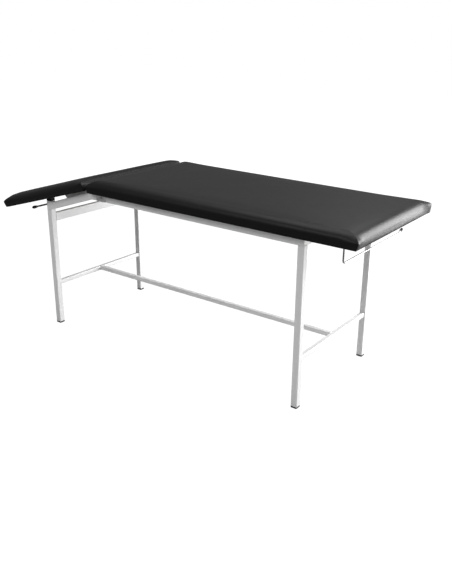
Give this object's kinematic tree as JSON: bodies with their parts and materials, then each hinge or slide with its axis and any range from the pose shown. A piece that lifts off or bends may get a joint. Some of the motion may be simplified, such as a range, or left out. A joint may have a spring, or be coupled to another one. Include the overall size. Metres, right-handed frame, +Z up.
{
  "type": "examination table",
  "caption": "Examination table: white square-tube frame, black padded top, hinged head section on a notched stay with a knobbed rod, and a paper roll holder below the foot end.",
  "frame": {"origin": "on the floor below the middle of the whole table", "axes": "+Z up, +X from the head end to the foot end, +Y from the near side of the picture to the far side"},
  "size_m": [1.9118, 0.74, 0.766],
  "materials": {
    "white_enamel": "glossy white powder coat",
    "black_cover": "black grained artificial leather",
    "plywood": "plain varnished plywood",
    "black_plastic": "moulded black plastic",
    "plated_plate": "zinc plated sheet",
    "zinc_steel": "zinc plated fasteners",
    "grey_enamel": "white powder coat",
    "dark_steel": "black painted rod",
    "chrome_wire": "bright chrome"
  },
  "bodies": {
    "frame": {"leg_head_near": "white_enamel", "leg_head_far": "white_enamel", "leg_foot_near": "white_enamel", "leg_foot_far": "white_enamel", "side_rail_near": "white_enamel", "side_rail_far": "white_enamel", "sloped_rail_near": "white_enamel", "sloped_rail_far": "white_enamel", "upper_crossbar_foot": "white_enamel", "upper_crossbar_head": "white_enamel", "inner_crossbar_head": "white_enamel", "inner_crossbar_middle": "white_enamel", "low_crossbar_head": "white_enamel", "low_crossbar_foot": "white_enamel", "low_stretcher": "white_enamel", "floor_plugs": "black_plastic", "head_leg_caps": "black_plastic", "main_board": "plywood", "main_cushion": "black_cover", "main_board_screws": "zinc_steel", "bracket_plates": "plated_plate", "hinge_bracket_near": "plated_plate", "hinge_bracket_far": "plated_plate", "bracket_bolts": "zinc_steel", "bracket_washers": "zinc_steel", "bracket_nuts": "zinc_steel", "hinge_pins": "zinc_steel", "stay_studs": "zinc_steel", "stay_washers": "zinc_steel", "stay_nuts": "zinc_steel", "roll_holder_rod": "chrome_wire", "roll_holder_plate": "chrome_wire", "roll_holder_cap": "black_plastic", "roll_holder_screws": "zinc_steel"},
    "head_section": {"head_board": "plywood", "head_cushion": "black_cover", "hinge_arm_near": "grey_enamel", "hinge_arm_far": "grey_enamel", "hinge_arm_screws": "zinc_steel", "stay_rack": "grey_enamel", "rack_screws": "zinc_steel"},
    "stay": {"stay_arm_near": "grey_enamel", "stay_arm_far": "grey_enamel", "stay_rod": "dark_steel", "stay_knobs": "black_plastic"}
  },
  "joints": [
    {"name": "head_hinge", "type": "hinge", "parent": "frame", "child": "head_section", "pos_m": [-0.383, 0, 0.705], "axis": [0, 1, 0], "range_deg": [0, 36]},
    {"name": "stay_hinge", "type": "hinge", "parent": "frame", "child": "stay", "pos_m": [-0.445, 0, 0.66], "axis": [0, 1, 0], "range_deg": [0, 46.8]}
  ],
  "couplings": [
    {"joint": "stay_hinge", "follows": "head_hinge", "ratio": 1.3}
  ]
}
